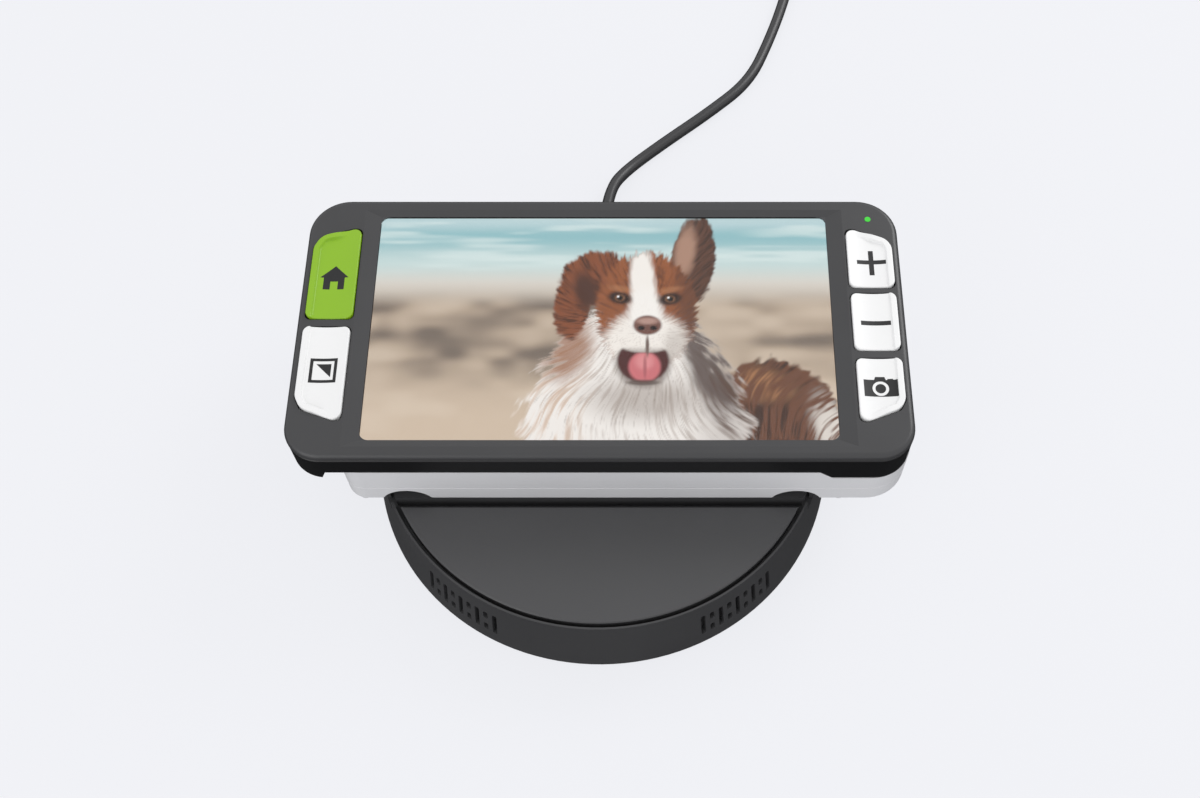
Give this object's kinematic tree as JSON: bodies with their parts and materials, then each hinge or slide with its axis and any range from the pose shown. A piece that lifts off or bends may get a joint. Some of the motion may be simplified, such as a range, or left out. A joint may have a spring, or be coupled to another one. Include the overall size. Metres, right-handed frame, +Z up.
{
  "type": "low vision magnifier",
  "caption": "Handheld video magnifier with a wide display and side buttons, lying on a round weighted charging and speaker dock with a power cord.",
  "frame": {"origin": "centre of the dock's disc on the desk, without the cord", "axes": "+X along the magnifier's long side, +Y away from the reader, +Z up"},
  "size_m": [0.2147, 0.3714, 0.0524],
  "materials": {
    "dock_charcoal_abs": "fine spark-eroded moulded texture",
    "dock_plate_abs": "satin moulded texture",
    "dock_base_abs": "fine moulded texture",
    "foot_rubber": "matt moulded rubber",
    "zinc_steel": "zinc plated",
    "black_nylon": "matt moulded",
    "gold_contact": "gold plated",
    "circuit_board": "solder resist",
    "nickel_shell": "nickel plated",
    "speaker_paper": "coated paper",
    "speaker_cloth": "open woven",
    "cord_jacket": "soft satin jacket",
    "bezel_charcoal_abs": "soft satin",
    "frame_dark_abs": "satin",
    "light_grey_abs": "soft satin",
    "display_glass": "clear flat glass",
    "display_panel": "lit picture",
    "status_light": "lit light pipe",
    "chassis_aluminium": "plain sheet",
    "keypad_silicone": "moulded silicone",
    "lens_glass": "coated glass",
    "camera_black": "matt",
    "lamp_module": "encapsulated",
    "battery_wrap": "shrink film",
    "button_green": "satin",
    "button_white": "satin"
  },
  "bodies": {
    "dock": {"dock_housing": "dock_charcoal_abs", "dock_base_plate": "dock_base_abs", "dock_feet": "foot_rubber", "dock_screws": "zinc_steel", "dock_weight": "zinc_steel", "dock_top_plate": "dock_plate_abs", "cradle": "dock_charcoal_abs", "cradle_pad_left": "foot_rubber", "cradle_pad_right": "foot_rubber", "contact_block": "black_nylon", "dock_board": "circuit_board", "power_socket": "nickel_shell", "speaker_basket_left": "zinc_steel", "speaker_cone_left": "speaker_paper", "speaker_magnet_left": "zinc_steel", "speaker_mesh_left": "speaker_cloth", "speaker_basket_right": "zinc_steel", "speaker_cone_right": "speaker_paper", "speaker_magnet_right": "zinc_steel", "speaker_mesh_right": "speaker_cloth", "dock_plug_shell": "nickel_shell", "dock_plug": "black_nylon", "dock_strain_relief": "black_nylon", "cord_tube": "cord_jacket", "cord_coil": "cord_jacket", "cord_tie": "speaker_cloth", "cord_tail": "cord_jacket", "charger_strain_relief": "black_nylon", "charger_plug": "black_nylon", "charger_plug_shell": "nickel_shell", "charger_plug_tongue": "black_nylon"},
    "contact_pins": {"contact_pins": "gold_contact"},
    "magnifier": {"front_bezel": "bezel_charcoal_abs", "display_glass": "display_glass", "status_light": "status_light", "middle_frame": "frame_dark_abs", "display_panel": "display_panel", "chassis_plate": "chassis_aluminium", "switch_board_left": "circuit_board", "keypad_left": "keypad_silicone", "switch_board_right": "circuit_board", "keypad_right": "keypad_silicone", "rear_housing": "light_grey_abs", "rear_cover": "light_grey_abs", "charging_pads": "gold_contact", "slide_feet": "light_grey_abs", "cover_screws": "zinc_steel", "camera_module": "camera_black", "camera_lens": "lens_glass", "camera_window": "lens_glass", "lamp_modules": "lamp_module", "lamp_windows": "lens_glass", "main_board": "circuit_board", "battery_pack": "battery_wrap", "second_cell": "battery_wrap"},
    "home_button": {"home_button": "button_green"},
    "mode_button": {"mode_button": "button_white"},
    "zoom_in_button": {"zoom_in_button": "button_white"},
    "zoom_out_button": {"zoom_out_button": "button_white"},
    "capture_button": {"capture_button": "button_white"}
  },
  "joints": [
    {"name": "magnifier_lift", "type": "slide", "parent": "dock", "child": "magnifier", "axis": [0, 0, 1], "range_m": [0, 0.06]},
    {"name": "contact_pins_travel", "type": "slide", "parent": "dock", "child": "contact_pins", "axis": [0, 0, 1], "range_m": [-0.0005, 0], "stiffness_N_per_m": 1000},
    {"name": "home_button_press", "type": "slide", "parent": "magnifier", "child": "home_button", "axis": [0, 0, -1], "range_m": [0, 0.0008], "stiffness_N_per_m": 1500},
    {"name": "mode_button_press", "type": "slide", "parent": "magnifier", "child": "mode_button", "axis": [0, 0, -1], "range_m": [0, 0.0008], "stiffness_N_per_m": 1500},
    {"name": "zoom_in_button_press", "type": "slide", "parent": "magnifier", "child": "zoom_in_button", "axis": [0, 0, -1], "range_m": [0, 0.0008], "stiffness_N_per_m": 1500},
    {"name": "zoom_out_button_press", "type": "slide", "parent": "magnifier", "child": "zoom_out_button", "axis": [0, 0, -1], "range_m": [0, 0.0008], "stiffness_N_per_m": 1500},
    {"name": "capture_button_press", "type": "slide", "parent": "magnifier", "child": "capture_button", "axis": [0, 0, -1], "range_m": [0, 0.0008], "stiffness_N_per_m": 1500}
  ]
}
